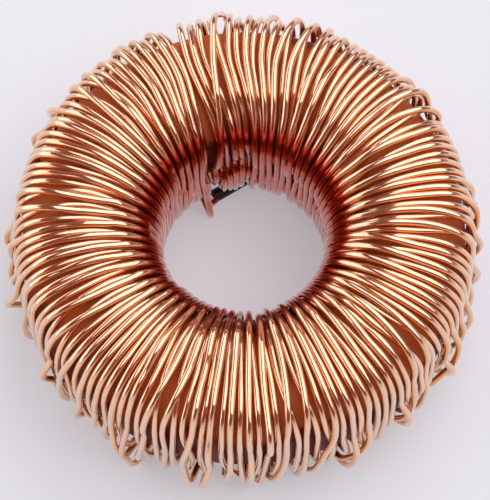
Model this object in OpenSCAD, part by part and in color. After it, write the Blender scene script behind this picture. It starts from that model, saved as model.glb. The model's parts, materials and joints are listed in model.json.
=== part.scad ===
// Toroidal inductor: a coated iron-powder ring wound in two layers with one
// enamelled copper wire. Both ends of the wire leave at the back as short leads
// with tinned tips, and a sleeve covers the start lead at the bore's edge.
// Z is the ring's axis, and Z = 0 is the plane that the lowest turns rest on.

/* [Core] */
// Outside diameter of the coated ring
core_od = 28.4; // [23:0.1:35]
// Bore of the coated ring
core_id = 12.6; // [10:0.1:16]
// Height of the coated ring
core_h = 9; // [7:0.1:14]
// Radius of the ring's rounded edges
core_edge = 3.2; // [2:0.1:3.4]

/* [Wire] */
// Diameter of the wire over its enamel
wire_d = 0.44; // [0.35:0.01:0.55]
// Thickness of the enamel, which the tinned tips lack
enamel = 0.02; // [0.01:0.005:0.03]
// Room between the core's sides and the inner layer
seat_gap = 0.05; // [0.02:0.01:0.1]
// Room between the two layers
layer_gap = 0.04; // [0.03:0.01:0.1]

/* [Winding] */
// Room between neighbouring turns of the inner layer, in the bore
inner_room = 0.025; // [0.02:0.005:0.2]
// Room between neighbouring turns of the outer layer, in the bore
outer_room = 0.05; // [0.03:0.01:0.4]
// Direction of the gap between the inner layer's two ends
gap_angle = 110; // [90:1:130]
// Angle across that gap
gap_width = 10; // [8:1:16]
// Angle from where the start lead turns out to the outer layer's first turn
climb_angle = 2.8; // [2.3:0.1:6]
// Angle left free between the inner layer's first turn and the outer layer's last
end_angle = 0.82; // [0.4:0.02:4]
// Most that a turn of the outer layer stands proud of its neighbours
proud = 0.35; // [0:0.05:0.5]
// Most that a turn of the outer layer leans sideways at the rim, as a share of the turns' pitch
lean = 0.25; // [0:0.05:0.3]

/* [Leads] */
// Distance from the winding's rim to where the leads' tinned tips start
lead_len = 1; // [0.6:0.1:20]
// Length of each tinned tip
tip_len = 1.6; // [0.5:0.1:10]
// Angle that each tip turns aside
tip_turn = 15; // [12:1:30]
// Radius of the leads' bends
lead_bend = 0.6; // [0.6:0.05:0.8]
// Angle from the gap to the direction in which the start lead leaves
lead_aside = 20; // [15:1:25]
// Angle at which the sleeve slants outwards from straight across that direction
sleeve_angle = 32; // [28:1:36]
// Outside diameter of the sleeve
sleeve_od = 0.9; // [0.8:0.05:1]
// Wall of the sleeve
sleeve_wall = 0.15; // [0.1:0.05:0.2]
// Length of the sleeve
sleeve_len = 2.4; // [1:0.1:2.6]
// Length over which the start lead dips from the sleeve to the floor
start_dip = 0.7; // [0.6:0.05:0.7]

/* [Hidden] */

wire_r = wire_d / 2;
// A bend is this much thicker than a straight, and a straight runs this far into it.
weld = 0.005;
lap = 0.04;

// Distances from the axis of each layer's legs, in the bore and at the rim.
inner_off = seat_gap + wire_r;
outer_off = inner_off + wire_d + layer_gap;
// The ring's rounded edges leave a flat between them on each of its four sides.
edge = min(core_edge, (core_od - core_id) / 4 - 0.1, core_h / 2 - 0.1);
inner_bore = core_id / 2 - inner_off;
inner_rim = core_od / 2 + inner_off;
outer_bore = core_id / 2 - outer_off;
outer_rim = core_od / 2 + outer_off;
rim = outer_rim + proud + wire_r;

// Angle between two turns that stand the given room apart in the bore.
function turn_angle(r, room) = 2 * asin((wire_d + room) / (2 * r));
// Turns that fit in an angle.
function turns_in(angle, r, room) = floor(angle / turn_angle(r, room));

inner_from = gap_angle + gap_width / 2;
inner_span = 360 - gap_width;
inner_turns = turns_in(inner_span, inner_bore, inner_room);
inner_pitch = inner_span / inner_turns;

// The start lead comes in under the ring, turns through the sleeve and goes up the bore.
lead_dir = at(1, gap_angle - lead_aside);
sleeve_dir = at(1, gap_angle - lead_aside - 90 + sleeve_angle);
start_foot = at(inner_bore, inner_from, sleeve_od / 2);
sleeve_from = start_foot + sleeve_dir * lead_bend;
sleeve_to = sleeve_from + sleeve_dir * sleeve_len;
start_turn = sleeve_to + sleeve_dir * lead_bend * tan(45 - sleeve_angle / 2);
dip_end = [start_turn.x, start_turn.y, wire_r] + lead_dir * start_dip;
start_bare = dip_end + lead_dir * (rim + lead_len - dip_end * lead_dir);
start_tip = start_bare + at(tip_len, gap_angle - lead_aside - tip_turn);

// The wire climbs back over the inner layer's end as far as the start lead leaves free.
climb_from = inner_from + inner_span;
climb_to = 360 + min([for (p = [start_turn, start_bare]) atan2(p.y, p.x)]) - climb_angle;
outer_span = climb_to - inner_from - turn_angle(inner_bore, 0) - end_angle;
outer_turns = turns_in(outer_span, outer_bore, outer_room);
outer_pitch = outer_span / (outer_turns - 0.5);
// How far each outer turn stands proud: a few by nearly all of it, most by little.
lifts = [for (u = rands(0, 1, outer_turns + 1, 7)) proud * pow(u, 3)];
// How far each outer turn leans sideways at the rim, and the ends not at all.
leans = concat(0, rands(-lean, lean, outer_turns - 1, 11), 0);

// A point given by its distance and direction from the axis, and its height.
function at(r, a, z = 0) = [r * cos(a), r * sin(a), z];
function unit(v) = v / norm(v);

// The wire's upright legs, in the order in which it passes through them:
// up through the bore, down at the rim, and round again one pitch further.
legs = [
  for (i = [0 : inner_turns - 1]) each [
    at(inner_bore, inner_from + i * inner_pitch),
    at(inner_rim, inner_from + (i + 0.5) * inner_pitch)
  ],
  at(outer_bore, climb_from),
  for (i = [0 : outer_turns - 1]) each [
    at(outer_rim + lifts[i], climb_to - (i + leans[i]) * outer_pitch),
    at(outer_bore, climb_to - (i + 0.5) * outer_pitch)
  ],
  at(outer_rim + lifts[outer_turns], climb_to - outer_turns * outer_pitch)
];
last_leg = len(legs) - 1;
// Between two legs the wire arches over the ring, if i is even, or under it, if i is odd.
function arch_r(i) = norm(legs[i + 1] - legs[i]) / 2;
// The arches start level with the core's rounded edges, and the deepest touches the floor.
foot_z = wire_r + max([for (i = [1 : 2 : last_leg - 1]) arch_r(i)]);
head_z = foot_z + core_h - 2 * edge;
function arch_z(i) = i % 2 == 0 ? head_z : foot_z;

start_lead = [
  start_tip,
  start_bare,
  dip_end,
  start_turn,
  start_foot,
  legs[0] + [0, 0, head_z]
];

// The finish lead turns out at the foot of the last leg.
finish_angle = climb_to - outer_turns * outer_pitch;
finish_bare = at(rim + lead_len, finish_angle, wire_r);
finish_tip = finish_bare + at(tip_len, finish_angle + tip_turn);
finish_lead = [
  legs[last_leg] + [0, 0, head_z],
  legs[last_leg] + [0, 0, wire_r],
  finish_bare,
  finish_tip
];

// A frame with its axes along x, y and z, moved to p.
function frame(x, y, z, p) = [
  [x.x, y.x, z.x, p.x], [x.y, y.y, z.y, p.y], [x.z, y.z, z.z, p.z]
];

module rod(p, q, r) {
  d = unit(q - p);
  side = unit(cross(d, abs(d.z) > 0.5 ? [1, 0, 0] : [0, 0, 1]));
  multmatrix(frame(side, cross(d, side), d, p)) cylinder(r = r, h = norm(q - p), $fn = 24);
}

// A bend of radius r about c, from the direction out through the given angle towards d.
module bend(c, out, d, r, angle)
  multmatrix(frame(out, d, cross(out, d), c)) rotate_extrude(angle = angle, $fn = 48)
    translate([r, 0]) circle(r = wire_r + weld, $fn = 24);

module arch(i) {
  along = unit(legs[i + 1] - legs[i]);
  centre = (legs[i] + legs[i + 1]) / 2 + [0, 0, arch_z(i)];
  bend(centre, -along, [0, 0, i % 2 == 0 ? 1 : -1], arch_r(i), 180);
}

module leg(i)
  rod(legs[i] + [0, 0, foot_z - lap], legs[i] + [0, 0, head_z + lap], wire_r);

// A lead runs straight between its corners, with a bend at each. Its stretch up to the tip is bare.
module lead(points, tip) {
  last = len(points) - 1;
  dirs = [for (i = [0 : last - 1]) unit(points[i + 1] - points[i])];
  turns = [for (i = [0 : last]) i == 0 || i == last ? 0 : acos(dirs[i - 1] * dirs[i])];
  cuts = [for (i = [0 : last]) i == tip ? 0 : lead_bend * tan(turns[i] / 2) - lap];
  for (i = [0 : last - 1]) {
    bare = i == tip || i + 1 == tip ? enamel : 0;
    rod(points[i] + dirs[i] * cuts[i], points[i + 1] - dirs[i] * cuts[i + 1], wire_r - bare);
  }
  for (i = [1 : last - 1]) {
    out = unit(dirs[i - 1] * cos(turns[i]) - dirs[i]);
    from = points[i] - dirs[i - 1] * lead_bend * tan(turns[i] / 2);
    bend(from - out * lead_bend, out, dirs[i - 1], lead_bend, turns[i]);
  }
}

module winding() color("peru") {
  for (i = [0 : last_leg - 1]) arch(i);
  for (i = [1 : last_leg - 1]) leg(i);
  lead(start_lead, 0);
  lead(finish_lead, len(finish_lead) - 1);
}

// The ring's section: a rectangle with its corners rounded.
module core_section(w, h, r) {
  translate([r, 0]) square([w - 2 * r, h]);
  translate([0, r]) square([w, h - 2 * r]);
  for (x = [r, w - r], y = [r, h - r]) translate([x, y]) circle(r = r, $fn = 64);
}

module core() color("goldenrod") rotate_extrude($fn = 144)
  translate([core_id / 2, foot_z - edge])
    core_section((core_od - core_id) / 2, core_h, edge);

module lead_sleeve() color("black") difference() {
  rod(sleeve_from, sleeve_to, sleeve_od / 2);
  rod(sleeve_from - sleeve_dir, sleeve_to + sleeve_dir, sleeve_od / 2 - sleeve_wall);
}

core();
winding();
lead_sleeve();
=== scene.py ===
# %% [markdown]
# # A toroidal inductor, dressed on its imported frame
# The part is a ring of pressed iron powder, wound twice round with enamelled copper wire.
# The imported model says where the core, the winding and the sleeve are. Its winding is
# regular, as a drawing would show it. This lesson lays the same wire, loose turns and
# crossings included, and then gives every piece the finish of the real material.

# %% Load the frame
import json
import math
import bpy
import numpy as np
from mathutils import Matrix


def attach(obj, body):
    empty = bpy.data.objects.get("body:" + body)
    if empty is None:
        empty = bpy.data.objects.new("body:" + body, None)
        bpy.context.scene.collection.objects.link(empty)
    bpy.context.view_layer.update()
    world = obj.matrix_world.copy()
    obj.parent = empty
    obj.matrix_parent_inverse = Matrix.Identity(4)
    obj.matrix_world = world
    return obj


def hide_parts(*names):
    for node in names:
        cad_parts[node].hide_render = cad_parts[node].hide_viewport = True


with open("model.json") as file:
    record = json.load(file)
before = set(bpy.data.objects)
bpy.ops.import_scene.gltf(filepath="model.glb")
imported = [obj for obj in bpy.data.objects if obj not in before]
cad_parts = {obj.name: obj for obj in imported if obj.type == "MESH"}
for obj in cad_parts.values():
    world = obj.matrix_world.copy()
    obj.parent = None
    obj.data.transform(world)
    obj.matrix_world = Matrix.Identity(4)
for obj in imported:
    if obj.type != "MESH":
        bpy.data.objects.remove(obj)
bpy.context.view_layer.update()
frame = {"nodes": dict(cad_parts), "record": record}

# %% [markdown]
# The winding is laid on the core, so the core is measured first. All sizes from here on are
# in millimetres, because the wire is less than half of one thick, and turn to metres only
# when a mesh is made. The core's straight sides end where its rounded edges start, and the
# turns arch over and under the ring from those two heights.

# %% Measure the core
MM = 0.001


def corners_of(node):
    """All corner points of a CAD node, in millimetres."""
    mesh = frame["nodes"][node].data
    flat = np.empty(3 * len(mesh.vertices))
    mesh.vertices.foreach_get("co", flat)
    return flat.reshape(-1, 3) / MM


core_points = corners_of("core")
core_reach = np.hypot(core_points[:, 0], core_points[:, 1])
bore_r = core_reach.min()
rim_r = core_reach.max()
side_z = core_points[core_reach > rim_r - 0.01, 2]
foot_z = side_z.min()
head_z = side_z.max()
print(f"core: bore radius {bore_r:.2f} mm, rim radius {rim_r:.2f} mm")
print(f"its sides are straight from {foot_z:.2f} to {head_z:.2f} mm")

# %% [markdown]
# A turn of wire seen in section is a rounded slot: up a straight leg in the bore, over the
# ring in a half circle, down a leg at the rim, and back under it. One number says how far
# round the turn a point is, and a second says how far the wire stands off the inner layer.
# Every turn of both layers is that one function, with its own direction from the axis.
#
# Stiff wire doesn't hug the core all the way: past the top it bulges at the corners. A
# superellipse does that. On it |cos|^n + |sin|^n stays the same, which is a circle when n is
# 2 and gets squarer as n grows.

# %% The path of a turn
WIRE_R = 0.22
SEAT_GAP = 0.05
BULGE = 3.2
leg = head_z - foot_z
mid_r = (rim_r + bore_r) / 2
arch_r = (rim_r - bore_r) / 2 + SEAT_GAP + WIRE_R
turn_length = 2 * leg + 2 * math.pi * arch_r


def section(share, rise):
    """Distance from the axis, height and tilt of a turn, at a share of the way round it.

    The tilt is the direction in which the wire's outer side faces, counted from straight
    outwards: half a circle in the bore, none at the rim. It falls steadily along the arches.
    The point lies the arch's radius plus the rise away from the section's middle line. Past
    the top, that radius is stretched by (|cos|^n + |sin|^n)^(-1/n).
    """
    along = (share % 1) * turn_length
    head = np.clip((along - leg) / arch_r, 0, math.pi)
    foot = np.clip((along - 2 * leg - math.pi * arch_r) / arch_r, 0, math.pi)
    tilt = math.pi - head - foot
    climb = np.clip(along, 0, leg) - np.clip(along - leg - math.pi * arch_r, 0, leg)
    stretch = (np.abs(np.cos(tilt)) ** BULGE + np.abs(np.sin(tilt)) ** BULGE) ** (-1 / BULGE)
    reach = arch_r * np.where(tilt < math.pi / 2, stretch, 1) + rise
    return mid_r + reach * np.cos(tilt), foot_z + climb + reach * np.sin(tilt), tilt


print(f"one turn of the inner layer is {turn_length:.1f} mm long")

# %% [markdown]
# The wire goes once round the ring, one turn beside the next, as far as a gap. There it
# climbs back over the inner layer and goes round again the other way with fewer turns. Its
# direction from the axis therefore grows steadily, then falls back over the climb, and then
# falls steadily. This is first written down for a winding with no faults, at a few stations
# round the section: in the bore, over the top, down the rim and under the ring.

# %% The even winding
INNER_TURNS = 79
OUTER_TURNS = 64
STEPS = 96  # points along each turn
GAP_FROM = 105  # degrees, as all directions here
GAP_TO = 115
CLIMB_ANGLE = 20
END_ANGLE = 5
NOTCH = 110
STATIONS = np.array([0.04, 0.17, 0.30, 0.43, 0.54, 0.66, 0.80, 0.93])

rows = INNER_TURNS + 1 + OUTER_TURNS  # the climb from layer to layer takes a turn of its own
step_at = np.arange(rows)[:, None] + np.arange(STEPS) / STEPS
station_at = np.arange(rows)[:, None] + STATIONS


def even_way(at):
    """Direction from the axis, in degrees, at a number of turns from the start."""
    bore_leg, rim_leg = STATIONS[0], STATIONS[0] + 0.5
    climb_to = GAP_FROM + 360 - CLIMB_ANGLE
    outer_pitch = (climb_to - GAP_TO - END_ANGLE) / (OUTER_TURNS - 0.5)
    corners = [bore_leg, INNER_TURNS + bore_leg, INNER_TURNS + rim_leg, rows - 1 + rim_leg]
    towards = [GAP_TO, NOTCH + 359, climb_to, climb_to - OUTER_TURNS * outer_pitch]
    return np.interp(at, corners, towards)


base = even_way(station_at)
print(f"{rows} rows of {STEPS} points, from {base.min():.0f} to {base.max():.0f} degrees")

# %% [markdown]
# In the bore the turns lie side by side in two layers. The ring is twice as far round at
# its rim, so there the outer turns slip down between the inner ones and all of them lie in
# one layer. To find where, the turns are sorted at each station by their direction from the
# axis, and each is moved to the middle of its two neighbours, over and over, until the crowd
# is even. A share says how far each station follows that. The turns beside the gap are held
# apart, most at the rim, which leaves an open notch.

# %% Pack the turns side by side
NOTCH_HALF = np.array([1.2, 1.0, 1.1, 3.0, 4.4, 4.2, 3.0, 1.2])
PACKED = np.array([0.0, 0.25, 0.95, 1.0, 1.0, 0.8, 0.5, 0.2])
PACK_ROUNDS = 1500


def packed(way, half):
    """Directions spread evenly: each goes to its neighbours' mean, the ends to the notch."""
    order = np.argsort(way)
    line = way[order]
    line[0], line[-1] = NOTCH + half, NOTCH + 360 - half
    for _ in range(PACK_ROUNDS):
        line[1:-1] = line[1:-1] / 2 + (line[:-2] + line[2:]) / 4
    spread = np.empty_like(way)
    spread[order] = line
    return spread


crowd = np.stack([packed(column, half) for column, half in zip(base.T, NOTCH_HALF)], -1)
placed = base + (crowd - base) * PACKED
print(f"turns move by up to {np.abs(placed - base).max():.1f} degrees to lie side by side")

# %% [markdown]
# Nothing is even in a hand-wound layer. Each turn leans to one side, least in the bore and
# most at the foot of the rim, where nothing holds it, and the outer turns lean more than the
# inner ones, so there they cross. On top of that each turn strays a little at each station,
# and a slower shift moves neighbours together, which makes bunches. All of it is drawn from
# a seeded generator, so the same turns stray each time.

# %% Let the turns stray
LEAN = np.array([0.0, 0.0, 0.01, 0.05, 0.25, 0.85, 1.0, 0.3])
INNER_LEAN = 0.35
OUTER_LEAN = 0.85
MOST_LEAN = 1.6
STRAY = np.array([0.02, 0.03, 0.02, 0.03, 0.04, 0.09, 0.10, 0.04])
BUNCH = np.array([0.0, 0.01, 0.01, 0.02, 0.05, 0.18, 0.22, 0.05])
BUNCH_TURNS = 5


def smooth(values, width):
    """Slides a bell-shaped window along a row of values, which runs on from end to start."""
    window = np.hanning(width + 2)[1:-1]
    half = width // 2
    wrapped = np.concatenate([values[-half:], values, values[:half]])
    return np.convolve(wrapped, window / window.sum(), "valid")


def straying(seed):
    """How far each turn strays at each station, in millimetres sideways."""
    rng = np.random.default_rng(seed)
    own = rng.normal(0, 1, (rows, STATIONS.size))
    slow = smooth(rng.normal(0, 1, rows), BUNCH_TURNS)[:, None]
    layer_lean = np.where(np.arange(rows) < INNER_TURNS, INNER_LEAN, OUTER_LEAN)
    lean = np.clip(rng.normal(0, 1, rows), -MOST_LEAN, MOST_LEAN) * layer_lean
    return lean[:, None] * LEAN + own * STRAY + slow * BUNCH


stray = straying(3)
print(f"turns stray sideways by up to {np.abs(stray).max():.2f} mm")

# %% [markdown]
# Between two stations the wire runs in a smooth curve. A cubic that has the right direction
# at both of its ends does it: a share of the way that starts and ends level, plus a bend
# towards the slope at each end. The slopes are those of the whole row of stations.

# %% A smooth way through the stations
def curve_through(at, knots, values):
    """A cubic from each knot to the next. At a knot its slope is the slope of the values there."""
    slope = np.gradient(values, knots)
    k = np.clip(np.searchsorted(knots, at) - 1, 0, len(knots) - 2)
    gap = knots[k + 1] - knots[k]
    t = np.clip((at - knots[k]) / gap, 0, 1)
    steady = values[k] + (values[k + 1] - values[k]) * t * t * (3 - 2 * t)
    return steady + gap * t * (1 - t) * (slope[k] * (1 - t) - slope[k + 1] * t)


station_reach = section(STATIONS, 0)[0]
strayed = np.radians(placed) + stray / station_reach
way = curve_through(step_at.ravel(), station_at.ravel(), strayed.ravel()).reshape(rows, STEPS)
print(f"laid tight, the {rows} turns would take {rows * turn_length / 1000:.2f} m of wire")

# %% [markdown]
# No two wires can share a place, so the turns are laid one after another, as on the bench.
# Where a new turn crosses or crowds one that is already there, it rides over it: two round
# wires whose middles are a distance apart sideways touch when one stands above the other by
# the third side of a triangle whose long side is one wire. Wire is springy and doesn't
# follow each bump, so its rise is widened and then smoothed. In the bore the winder presses
# the turns down to keep the hole open, so there the rise has a limit.

# %% Lay the turns on each other
ROOM = 2 * WIRE_R + 0.01
LIFT_WIDTH = 5
BORE_DEPTH = 0.6
reach_at = section(step_at[0], 0)[0]


def rise_over(new, laid, laid_rise):
    """How far a new turn stands up at each step, so that it clears the turns laid before it."""
    aside = (new - laid + math.pi) % (2 * math.pi) - math.pi
    aside = aside * reach_at
    slant = np.gradient(aside, turn_length / STEPS, axis=1)
    aside = aside / np.sqrt(1 + slant**2)
    over = laid_rise + np.sqrt(np.clip(ROOM**2 - aside**2, 0, None))
    return np.where(np.abs(aside) < ROOM, over, 0).max(axis=0)


def widest(values, width):
    """The largest value within a window, along a row that runs on from its end to its start."""
    half = width // 2
    return np.max([np.roll(values, k) for k in range(-half, half + 1)], axis=0)


rise = np.zeros_like(way)
for turn in range(1, rows):
    needed = rise_over(way[turn], way[:turn], rise[:turn])
    rise[turn] = smooth(widest(needed, LIFT_WIDTH), LIFT_WIDTH)
rise = smooth(rise.ravel(), 3).reshape(rows, STEPS)
in_bore = np.cos(section(step_at, 0)[2]) < -0.5
rise = np.where(in_bore, np.minimum(rise, BORE_DEPTH), rise)
print(f"laid tight, the inner layer rises by up to {rise[:INNER_TURNS].max():.2f} mm")
print(f"and the outer layer by up to {rise.max():.2f} mm")

# %% [markdown]
# Wire springs back when it is let go, so the turns stand a little off the rim, and a few of
# them clearly: those were caught by a finger or never pulled tight. Each loop that stands
# out is one entry of a short list: which turn, the share of the way round it, and how many
# millimetres off.

# %% Slack turns
EASE = 0.12
SLACK = 0.20
INNER_SLACK = 0.8
RIM_SHARE = 0.54
RIM_WIDTH = 0.17
LOOSE_LOOPS = [
    (76, 0.50, 0.75), (78, 0.50, 0.5), (2, 0.48, 0.6), (72, 0.50, 0.4), (73, 0.55, 0.3),
    (96, 0.52, 0.5), (99, 0.60, 0.3), (128, 0.50, 0.25), (115, 0.62, 0.5), (119, 0.64, 0.6),
]
LOOP_WIDTH = 0.10


def bump(centre, width):
    """One turn's share of a bump: (1 + cos) / 2 from its centre to its two ends, and none beyond."""
    away = np.clip(np.abs(step_at[0] - centre) / width, 0, 1)
    return (1 + np.cos(math.pi * away)) / 2


rng = np.random.default_rng(5)
spring = EASE + SLACK * rng.uniform(0, 1, rows) ** 3
spring[:INNER_TURNS] *= INNER_SLACK
rise += spring[:, None] * bump(RIM_SHARE, RIM_WIDTH)
for turn, share, off in LOOSE_LOOPS:
    rise[turn] += off * bump(share, LOOP_WIDTH)
print(f"with slack, the turns stand up to {rise.max():.2f} mm off the inner layer")

# %% [markdown]
# The last turn but one was never pulled tight: it hangs straight down in the bore and turns
# at the board, so its corner can be seen from above. A straight line past a circle, at angle
# a from where it touches, is 1 / cos(a) radii from the middle. Two such lines, one down and
# one along the board, meet in the corner, where a is an eighth of a circle.

# %% The hanging turn
hanging = INNER_TURNS + OUTER_TURNS - 1
tilt = section(step_at[0], 0)[2]
past = np.where(tilt < -math.pi / 2, math.pi / 4 - np.abs(tilt + 3 * math.pi / 4), 0)
straight = 1 / np.cos(np.clip(past, 0, math.pi / 4))
rise[hanging] = (arch_r + rise[hanging]) * straight - arch_r
print(f"the hanging turn's corner stands {rise[hanging].max():.2f} mm off")

# %% [markdown]
# A tube is a circle carried along the path. At each point of the path the circle lies square
# to the path's direction, and a reference vector that is never in line with it fixes how the
# circle is turned, so the whole tube is one grid of points: steps along by sides around. Its
# UV map says how far along the wire a point is, in millimetres, and how far around.

# %% Sweep a wire along a path
SIDES = 12


def unit(vectors):
    """The same directions with a length of one."""
    return vectors / np.linalg.norm(vectors, axis=-1, keepdims=True)


def length_along(path):
    """How far along the path each of its points lies."""
    return np.concatenate([[0], np.cumsum(np.linalg.norm(np.diff(path, axis=0), axis=1))])


def swept(path, reference, radius):
    """Points of a tube: path + radius * (cos v * side + sin v * up), with up square to both."""
    forward = unit(np.gradient(path, axis=0))
    side = unit(np.cross(reference, forward))
    up = np.cross(forward, side)
    v = np.linspace(0, 2 * math.pi, SIDES, endpoint=False)
    circle = np.cos(v)[None, :, None] * side[:, None] + np.sin(v)[None, :, None] * up[:, None]
    return path[:, None] + radius * circle


def tube(name, path, reference, radius):
    """A closed mesh of a wire along a path, with rounded-off normals and a UV map."""
    grid = swept(path, np.broadcast_to(reference, path.shape), radius)
    count = len(path)
    i, j = np.meshgrid(np.arange(count - 1), np.arange(SIDES), indexing="ij")
    k = (j + 1) % SIDES
    corners = [i * SIDES + j, i * SIDES + k, (i + 1) * SIDES + k, (i + 1) * SIDES + j]
    quads = np.stack(corners, -1).reshape(-1, 4)
    caps = [list(range(SIDES))[::-1], list(range((count - 1) * SIDES, count * SIDES))]
    mesh = bpy.data.meshes.new(name)
    mesh.from_pydata((grid.reshape(-1, 3) * MM).tolist(), [], quads.tolist() + caps)
    along = length_along(path)
    u = np.stack([along[i], along[i], along[i + 1], along[i + 1]], -1)
    v = np.stack([j, j + 1, j + 1, j], -1) / SIDES
    uv = np.concatenate([np.stack([u, v], -1).reshape(-1, 2), np.zeros((2 * SIDES, 2))])
    layer = mesh.uv_layers.new(name="along_and_around")
    layer.data.foreach_set("uv", uv.ravel().astype(np.float32))
    mesh.polygons.foreach_set("use_smooth", np.ones(len(mesh.polygons), bool))
    piece = bpy.data.objects.new(name, mesh)
    bpy.context.scene.collection.objects.link(piece)
    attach(piece, "root")
    print(f"{name}: {along[-1]:.1f} mm long, {2 * len(quads)} triangles")
    return piece


print(f"a wire has {SIDES} sides, each {2 * WIRE_R * math.sin(math.pi / SIDES):.2f} mm wide")

# %% [markdown]
# Direction, distance and height make the wire's middle line, from the first turn to the
# last. Where a foot would sink into the board, the wire lies on the board instead. The line
# is swept as two pieces, one for each layer, because in one piece it would have more
# triangles than a mesh file should. It stops at the foot of the last turn's leg at the rim.

# %% The winding
reach, height, tilt = section(step_at, rise)
height = np.maximum(height, WIRE_R)
points = np.stack([reach * np.cos(way), reach * np.sin(way), height], -1).reshape(-1, 3)
sideways = np.stack([-np.sin(way), np.cos(way), np.zeros_like(way)], -1).reshape(-1, 3)
rim_foot_share = (2 * leg + math.pi * arch_r) / turn_length
layer_end = INNER_TURNS * STEPS
last = round((rows - 1 + rim_foot_share) * STEPS)
inner, outer = slice(0, layer_end + 1), slice(layer_end, last + 1)
wires = [
    tube("inner_layer", points[inner], sideways[inner], WIRE_R),
    tube("outer_layer", points[outer], sideways[outer], WIRE_R),
]

# %% [markdown]
# The two ends of the wire leave the winding at the back. The start comes from the bore's
# edge through a short sleeve, and the finish turns out at the foot of the last turn. Both
# lie on the board, turn a little aside and end in a tinned tip, where the enamel was burnt
# off and the copper dipped in solder. The frame says where the tips and the sleeve are, and
# the corners of each lead follow from those.

# %% Where the leads run
BEND_R = 0.6
DIP = 0.7
TIP_TURN = math.radians(15)
mounts = {mount["name"]: mount for mount in frame["record"]["mounts"]}


def tip_ends(name):
    """Where a tinned tip begins and ends: half its length to each side of its mount."""
    mount = mounts[name]
    middle, way_out = np.array(mount["pos_m"]) / MM, np.array(mount["axis"])
    half = mount["dims"]["length_mm"] / 2
    return middle - half * way_out, middle + half * way_out


def bend_before(name, bare):
    """The corner of the bend that turns a lead into its tip, which starts where the bend ends."""
    return bare - np.array(mounts[name]["axis"]) * BEND_R * math.tan(TIP_TURN / 2)


sleeve_points = corners_of("lead_sleeve")
sleeve_r = (sleeve_points[:, 2].max() - sleeve_points[:, 2].min()) / 2
sleeve_middle = (sleeve_points.max(axis=0) + sleeve_points.min(axis=0)) / 2
bore_foot = points[0] * [1, 1, 0] + [0, 0, sleeve_r]
sleeve_way = unit(sleeve_middle - bore_foot)
start_bare, start_end = tip_ends("start_tip")
start_corner = bend_before("start_tip", start_bare)
start_turn = bore_foot + sleeve_way * (start_corner[0] - bore_foot[0]) / sleeve_way[0]
dip_end = np.array([start_corner[0], start_turn[1] + DIP, WIRE_R])
finish_bare, finish_end = tip_ends("finish_tip")
finish_corner = bend_before("finish_tip", finish_bare)
rim_foot = points[last] * [1, 1, 0] + [0, 0, WIRE_R]
print("the start lead turns at", start_turn.round(2), "and the finish lead at", rim_foot.round(2))

# %% [markdown]
# A lead is a row of corners joined by straight stretches, and each corner is replaced by an
# arc that touches both stretches. The path is then divided into even steps, and swept as the
# winding is. The tips are thinner than the leads by the enamel that they lack. All of these
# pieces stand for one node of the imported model, the winding.

# %% The leads and their tips
LEAD_STEP = 0.1
ARC_POINTS = 13
TIP_POINTS = 17


def rounded(corners, radius):
    """Points along straight stretches between corners, each corner an arc of the given radius.

    At a corner the direction turns by an angle t. The arc starts radius * tan(t / 2) before it.
    """
    corners = np.asarray(corners, float)
    path = [corners[0]]
    for before, corner, after in zip(corners, corners[1:], corners[2:]):
        come, go = unit(corner - before), unit(after - corner)
        turn = math.acos(np.clip(come @ go, -1, 1))
        inward = unit(go - come * math.cos(turn))
        start = corner - come * radius * math.tan(turn / 2)
        part = np.linspace(0, turn, ARC_POINTS)[:, None]
        path.extend(start + radius * (np.sin(part) * come + (1 - np.cos(part)) * inward))
    path.append(corners[-1])
    path = np.array(path)
    along = length_along(path)
    even = np.linspace(0, along[-1], round(along[-1] / LEAD_STEP) + 1)
    return np.stack([np.interp(even, along, path[:, axis]) for axis in range(3)], -1)


def tip(name, bare, end, across):
    """A tinned tip, which is straight."""
    return tube(name, np.linspace(bare, end, TIP_POINTS), across, mounts[name]["dims"]["r_mm"])


start_lead = rounded([points[0], bore_foot, start_turn, dip_end, start_corner, start_bare], BEND_R)
finish_lead = rounded([points[last], rim_foot, finish_corner, finish_bare], BEND_R)
across_start = unit(np.cross([0, 0, 1], sleeve_way))
across_finish = unit(np.cross([0, 0, 1], finish_corner - rim_foot))
tips = [
    tip("start_tip", start_bare, start_end, across_start),
    tip("finish_tip", finish_bare, finish_end, across_finish),
]
wires += [
    tube("start_lead", start_lead, across_start, WIRE_R),
    tube("finish_lead", finish_lead, across_finish, WIRE_R),
]
for piece in wires + tips:
    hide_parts("winding")

# %% [markdown]
# Materials are made of nodes. One function adds a node with its settings and its links, and
# one turns the hex colour that a painter would name into the linear values that light is
# counted in. A third gives a noise pattern the size of what it stands for. Object
# coordinates are in metres, so the scale counts the lumps along a metre.

# %% Tools for materials
SMOOTH_STEP = {"interpolation_type": "SMOOTHSTEP"}
COLOUR = {"data_type": "RGBA"}


def linear(hex_colour):
    """sRGB hex to linear: value / 12.92 below 0.04045, and ((value + 0.055) / 1.055) ^ 2.4 above."""
    parts = [int(hex_colour[k:k + 2], 16) / 255 for k in (1, 3, 5)]
    light = [part / 12.92 if part <= 0.04045 else ((part + 0.055) / 1.055) ** 2.4 for part in parts]
    return light + [1.0]


def lumps(per_mm):
    """The scale of a noise texture with about this many lumps to the millimetre."""
    return per_mm / MM


def add(tree, kind, settings=(), **sockets):
    """Adds a node. A socket's value is a number or colour, or another node's output to link from."""
    node = tree.nodes.new(kind)
    for name, value in dict(settings).items():
        setattr(node, name, value)
    for name, value in sockets.items():
        number = name[1:]
        socket = node.inputs[int(number)] if number.isdigit() else node.inputs[name.replace("_", " ")]
        if isinstance(value, bpy.types.NodeSocket):
            tree.links.new(value, socket)
        else:
            socket.default_value = value
    return node


def new_material(name):
    """A material with an empty node tree."""
    material = bpy.data.materials.new(name)
    material.use_nodes = True
    material.node_tree.nodes.clear()
    return material, material.node_tree


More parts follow.
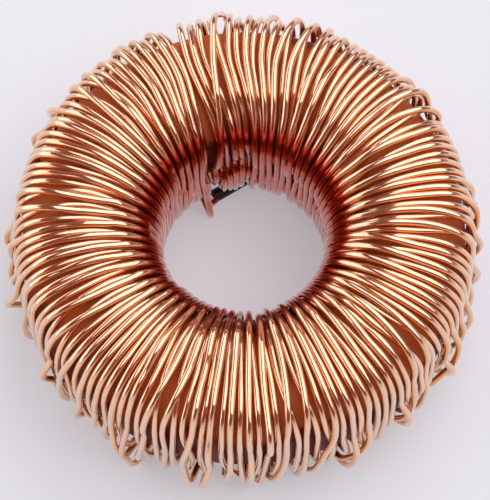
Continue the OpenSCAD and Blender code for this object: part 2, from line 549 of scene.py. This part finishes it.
def finish_material(material, shader):
    """Links the shader to the output and says which material is ready."""
    tree = material.node_tree
    output = tree.nodes.new("ShaderNodeOutputMaterial")
    tree.links.new(shader.outputs["BSDF"], output.inputs["Surface"])
    print("made", material.name)
    return material


print("half grey, #808080, is", round(linear("#808080")[0], 3), "as linear light")

# %% [markdown]
# Magnet wire is drawn copper, which is smooth as a mirror, under two baked coats of amber
# polyurethane enamel, which is clear and glossy. The eye sees two reflections, one tinted by
# the copper and a sharper white one off the enamel. The Principled shader has both: Metallic
# for the copper, and Coat for the enamel. The tone drifts slowly along the wire. A wire's
# sides are painted more orange: painted shade and reflection, for the light that reaches them
# only off the neighbouring wires. In the bore, light comes only by way of other wires and takes
# on the copper's colour each time, so there the wire is painted deep red: painted shade.

# %% Enamelled copper
TONE_STRETCH = 0.12  # of the UV map's millimetres, so a change of tone is about 8 mm long
# Painted shade in the bore: the base colour turns deep red between these two distances from the axis.
BORE_FROM = 7.2  # the red sets in at this distance from the axis
BORE_TO = 6.2  # and is full at this one


def enamelled_copper():
    """Drawn copper under clear amber enamel: mirror highlights, with painted shade: sides painted
    orange, the bore painted red.
    """
    material, tree = new_material("enamelled_copper")
    uv = add(tree, "ShaderNodeUVMap", {"uv_map": "along_and_around"})
    along = add(tree, "ShaderNodeMapping", Vector=uv.outputs["UV"], Scale=(TONE_STRETCH, 1.0, 1.0))
    tone = add(tree, "ShaderNodeTexNoise", Vector=along.outputs["Vector"], Scale=1.0, Detail=2.0)
    light = add(tree, "ShaderNodeMix", COLOUR, _0=tone.outputs["Fac"],
                _6=linear("#EEC6A4"), _7=linear("#F6D4B8"))
    around = add(tree, "ShaderNodeSeparateXYZ", Vector=uv.outputs["UV"])
    # From none on the wire's inner side to a half on its outer side.
    outward = add(tree, "ShaderNodeMath", {"operation": "PINGPONG"}, _0=around.outputs["Y"], _1=0.5)
    # Painted shade and reflection: towards the wire's sides the base colour turns orange.
    aside = add(tree, "ShaderNodeMapRange", SMOOTH_STEP, Value=outward.outputs["Value"],
                From_Min=0.45, From_Max=0.32)
    outside = add(tree, "ShaderNodeMix", COLOUR, _0=aside.outputs["Result"],
                  _6=light.outputs[2], _7=linear("#F2A860"))
    place = add(tree, "ShaderNodeTexCoord")
    flat = add(tree, "ShaderNodeVectorMath", {"operation": "MULTIPLY"},
               _0=place.outputs["Object"], _1=(1, 1, 0))
    from_axis = add(tree, "ShaderNodeVectorMath", {"operation": "LENGTH"}, _0=flat.outputs["Vector"])
    # Painted shade: in the bore the base colour turns deep red.
    deep = add(tree, "ShaderNodeMapRange", SMOOTH_STEP, Value=from_axis.outputs["Value"],
               From_Min=BORE_FROM * MM, From_Max=BORE_TO * MM)
    colour = add(tree, "ShaderNodeMix", COLOUR, _0=deep.outputs["Result"],
                 _6=outside.outputs[2], _7=linear("#CE5832"))
    shader = add(tree, "ShaderNodeBsdfPrincipled", Metallic=0.92, Roughness=0.14,
                 Base_Color=colour.outputs[2], Coat_Weight=1.0, Coat_Roughness=0.06,
                 Coat_IOR=1.5)
    return finish_material(material, shader)


copper = enamelled_copper()

# %% [markdown]
# The tips were dipped in solder, which leaves a tin-lead or tin-silver skin: a silvery metal,
# duller than the copper, and not quite even. A fine noise as a bump gives the unevenness.

# %% Tinned copper
def tinned_copper():
    """Copper dipped in solder: a dull silvery metal with a slightly uneven skin."""
    material, tree = new_material("tinned_copper")
    place = add(tree, "ShaderNodeTexCoord")
    grain = add(tree, "ShaderNodeTexNoise", Vector=place.outputs["Object"], Scale=lumps(3))
    bumps = add(tree, "ShaderNodeBump", Height=grain.outputs["Fac"], Strength=0.3, Distance=0.02 * MM)
    shader = add(tree, "ShaderNodeBsdfPrincipled", Metallic=1.0, Roughness=0.32,
                 Base_Color=linear("#D2CFC8"), Normal=bumps.outputs["Normal"])
    return finish_material(material, shader)


tin = tinned_copper()

# %% [markdown]
# The core is iron powder pressed with a binder, and coated with epoxy powder that is fused
# on. The coat is satin, and its skin has a fine orange peel, drawn a little coarser here so
# that it shows. Seen between the turns it takes the copper's colour, which is painted into it
# here as a painted reflection, in random patches of tone. Its lower part is painted dark red:
# painted shade, where light reaches it only off the copper, with an uneven upper edge.

# %% Epoxy coat
PEEL_PER_MM = 1.8
PATCHES_PER_MM = 0.25
# Painted shade on the core's lower part: how far its uneven edge wanders, and the heights at which it
# starts and is full.
SHADE_EDGES_PER_MM = 0.26
SHADE_EDGE_DRIFT = 8  # how far up the noise counts a point, at most, so that the edge is uneven
SHADE_TOP = 13.5  # counted height at which the painted shade starts
SHADE_FULL = 12.0


def epoxy_coat():
    """Epoxy powder fused onto pressed iron: satin, with orange peel, a painted copper reflection and
    painted shade at its foot.
    """
    material, tree = new_material("epoxy_coat")
    place = add(tree, "ShaderNodeTexCoord")
    peel = add(tree, "ShaderNodeTexNoise", Vector=place.outputs["Object"], Scale=lumps(PEEL_PER_MM),
               Detail=1.0)
    bumps = add(tree, "ShaderNodeBump", Height=peel.outputs["Fac"], Strength=0.5, Distance=0.03 * MM)
    # Painted reflection: the coat is painted the copper's reddish orange, in random patches of tone.
    tone = add(tree, "ShaderNodeTexNoise", Vector=place.outputs["Object"],
               Scale=lumps(PATCHES_PER_MM), Detail=3.0)
    copper_reflection_tone = add(tree, "ShaderNodeMix", COLOUR, _0=tone.outputs["Fac"],
                _6=linear("#D05A2A"), _7=linear("#DE783C"))
    # Painted shade: the lower part is painted dark red, with a wandering upper edge.
    drift = add(tree, "ShaderNodeTexNoise", Vector=place.outputs["Object"],
                Scale=lumps(SHADE_EDGES_PER_MM), Detail=1.0)
    part = add(tree, "ShaderNodeSeparateXYZ", Vector=place.outputs["Object"])
    uneven = add(tree, "ShaderNodeMath", {"operation": "MULTIPLY_ADD"}, _0=drift.outputs["Fac"],
                 _1=SHADE_EDGE_DRIFT * MM, _2=part.outputs["Z"])
    painted_shade = add(tree, "ShaderNodeMapRange", SMOOTH_STEP, Value=uneven.outputs["Value"],
                From_Min=SHADE_TOP * MM, From_Max=SHADE_FULL * MM)
    colour = add(tree, "ShaderNodeMix", COLOUR, _0=painted_shade.outputs["Result"],
                 _6=copper_reflection_tone.outputs[2], _7=linear("#7E1F10"))
    shader = add(tree, "ShaderNodeBsdfPrincipled", Roughness=0.55, Specular_IOR_Level=0.3,
                 Base_Color=colour.outputs[2], Normal=bumps.outputs["Normal"])
    return finish_material(material, shader)


coat = epoxy_coat()

# %% [markdown]
# The sleeve is black flexible tubing, extruded in PVC. It isn't quite black and isn't shiny,
# and its skin has a fine grain.

# %% PVC sleeve
def pvc_sleeve():
    """Black extruded PVC: satin, with a fine grain."""
    material, tree = new_material("pvc_sleeve")
    place = add(tree, "ShaderNodeTexCoord")
    grain = add(tree, "ShaderNodeTexNoise", Vector=place.outputs["Object"], Scale=lumps(4))
    bumps = add(tree, "ShaderNodeBump", Height=grain.outputs["Fac"], Strength=0.2, Distance=0.02 * MM)
    shader = add(tree, "ShaderNodeBsdfPrincipled", Roughness=0.5,
                 Base_Color=linear("#15130F"), Normal=bumps.outputs["Normal"])
    return finish_material(material, shader)


pvc = pvc_sleeve()

# %% [markdown]
# The new wires carry their material in their meshes. The core and the sleeve are the packed
# model's own meshes, so there the material goes into the slot that is already there.

# %% Dress the pieces
dressed = [(piece, copper) for piece in wires] + [(piece, tin) for piece in tips]
for piece, material in dressed:
    piece.data.materials.clear()
    piece.data.materials.append(material)
for node, material in (("core", coat), ("lead_sleeve", pvc)):
    for slot in frame["nodes"][node].material_slots:
        slot.material = material
print("dressed", len(dressed), "wires and tips, the core and the sleeve")

# %% [markdown]
# The ring lies on plain pale paper, which is matt. White paper under soft light still renders
# a little grey, so a share of what the camera and the shiny wire see of it is a plain pale
# glow. The rest is real paper, which keeps the ring's soft shadow. Matt surfaces get no
# light from the glow.

# %% Floor
FLOOR_R = 400
FLOOR_SIDES = 64
GLOW_SHARE = 0.4


def pale_paper():
    """Matt paper, of which the camera and the wire see a part as a plain pale glow."""
    material, tree = new_material("pale_paper")
    paper = add(tree, "ShaderNodeBsdfPrincipled", Roughness=0.9, Base_Color=linear("#EFEEF5"),
                Specular_IOR_Level=0.1)
    glow = add(tree, "ShaderNodeEmission", Color=linear("#EFEDF4"), Strength=1.0)
    ray = add(tree, "ShaderNodeLightPath")
    seen = add(tree, "ShaderNodeMath", {"operation": "MAXIMUM"}, _0=ray.outputs["Is Camera Ray"],
               _1=ray.outputs["Is Glossy Ray"])
    share = add(tree, "ShaderNodeMath", {"operation": "MULTIPLY"}, _0=seen.outputs["Value"],
                _1=GLOW_SHARE)
    mix = add(tree, "ShaderNodeMixShader", _0=share.outputs["Value"], _1=paper.outputs["BSDF"],
              _2=glow.outputs["Emission"])
    add(tree, "ShaderNodeOutputMaterial", Surface=mix.outputs["Shader"])
    return material


turn = np.linspace(0, 2 * math.pi, FLOOR_SIDES, endpoint=False)
ring = np.stack([FLOOR_R * np.cos(turn), FLOOR_R * np.sin(turn), np.zeros_like(turn)], -1) * MM
mesh = bpy.data.meshes.new("floor")
mesh.from_pydata(ring.tolist(), [], [list(range(FLOOR_SIDES))])
floor = bpy.data.objects.new("floor", mesh)
bpy.context.scene.collection.objects.link(floor)
floor.data.materials.append(pale_paper())
print(f"floor: a disc of paper, {2 * FLOOR_R} mm across")

# %% [markdown]
# A shiny wire is a curved mirror, so what it shows is the room. Low down and to the front the
# room is bright, and the turns at the rim show that. Overhead it is dark, which gives the
# dark bands between the highlights. Those bands are red on the real winding, where each wire
# mirrors its neighbours, so the dark part is warm where a wire mirrors it, and neutral where
# it lights the paper. The camera itself sees a plain near-white.

# %% The room
LOW_FROM, LOW_TO = 0.4, 0.1  # height of a direction: 1 is straight up
FRONT_FROM, FRONT_TO = 0.5, -0.2  # and how far it points to the back
BACK_SHARE = 0.08
world = bpy.data.worlds.new("studio")
bpy.context.scene.world = world
world.use_nodes = True
tree = world.node_tree
tree.nodes.clear()
place = add(tree, "ShaderNodeTexCoord")
part = add(tree, "ShaderNodeSeparateXYZ", Vector=place.outputs["Generated"])
low = add(tree, "ShaderNodeMapRange", SMOOTH_STEP, Value=part.outputs["Z"],
          From_Min=LOW_FROM, From_Max=LOW_TO)
front = add(tree, "ShaderNodeMapRange", SMOOTH_STEP, Value=part.outputs["Y"],
            From_Min=FRONT_FROM, From_Max=FRONT_TO, To_Min=BACK_SHARE)
bright = add(tree, "ShaderNodeMath", {"operation": "MULTIPLY"},
             _0=low.outputs["Result"], _1=front.outputs["Result"])
ray = add(tree, "ShaderNodeLightPath")
dim = add(tree, "ShaderNodeMix", COLOUR, _0=ray.outputs["Is Glossy Ray"],
          _6=linear("#38363C"), _7=linear("#78301C"))
room = add(tree, "ShaderNodeMix", COLOUR, _0=bright.outputs["Value"],
           _6=dim.outputs[2], _7=linear("#D8D6DB"))
seen = add(tree, "ShaderNodeMix", COLOUR, _0=ray.outputs["Is Camera Ray"],
           _6=room.outputs[2], _7=linear("#F3F1F7"))
light = add(tree, "ShaderNodeBackground", Color=seen.outputs[2], Strength=1.0)
add(tree, "ShaderNodeOutputWorld", Surface=light.outputs["Background"])
print("the room is bright low down and in front, and dark overhead")

# %% [markdown]
# Two soft boxes hang over the ring, and each draws one long highlight on every wire. The
# larger one is overhead to the right, and the narrow one low on the left. What a mirror shows
# of a lamp is its radiance, so that is what is chosen here. A flat lamp sends out pi times
# its radiance times its area in all.

# %% Soft boxes
LAMP_DISTANCE = 400


def softbox(name, aside, radiance, width, depth, back):
    """A rectangle of light, tilted to one side from overhead and moved towards the back."""
    lamp = bpy.data.lights.new(name, "AREA")
    lamp.shape = "RECTANGLE"
    lamp.size = width * MM
    lamp.size_y = depth * MM
    lamp.energy = radiance * math.pi * width * depth * MM**2
    holder = bpy.data.objects.new(name, lamp)
    tilt = math.radians(aside)
    across, up = LAMP_DISTANCE * math.sin(tilt), LAMP_DISTANCE * math.cos(tilt)
    holder.location = (across * MM, back * MM, up * MM)
    holder.rotation_euler = (0, tilt, 0)
    holder.visible_camera = False
    bpy.context.scene.collection.objects.link(holder)
    print(f"{name}: {width} by {depth} mm, {lamp.energy:.2f} W")


softbox("right_softbox", aside=24, radiance=1.78, width=600, depth=967, back=262)
softbox("left_softbox", aside=-66, radiance=1.5, width=320, depth=1000, back=240)

# %% [markdown]
# The camera looks down from the front, 69 degrees above the board, and fills the picture with
# the ring. A short focal length would make the near side bulge, so the lens is a long one.

# %% Camera
ELEVATION = math.radians(69.1)
DISTANCE = 196
TARGET = np.array([0.06, -0.26, 6.23])
lens = bpy.data.cameras.new("camera")
lens.sensor_fit = "HORIZONTAL"
lens.sensor_width = 36
lens.lens = 223
lens.clip_start = 0.01
lens.clip_end = 10
camera = bpy.data.objects.new("camera", lens)
away = DISTANCE * np.array([0, -math.cos(ELEVATION), math.sin(ELEVATION)])
camera.location = ((TARGET + away) * MM).tolist()
camera.rotation_euler = (math.pi / 2 - ELEVATION, 0, 0)
bpy.context.scene.collection.objects.link(camera)
bpy.context.scene.camera = camera
bpy.context.scene.view_settings.view_transform = "Standard"
print("camera at", [round(value / MM) for value in camera.location], "mm")

# %% [markdown]
# Last, the scene is brought up to date. Loose turns stand a little outside the regular
# winding, by about a wire.

# %% End
bpy.context.view_layer.update()
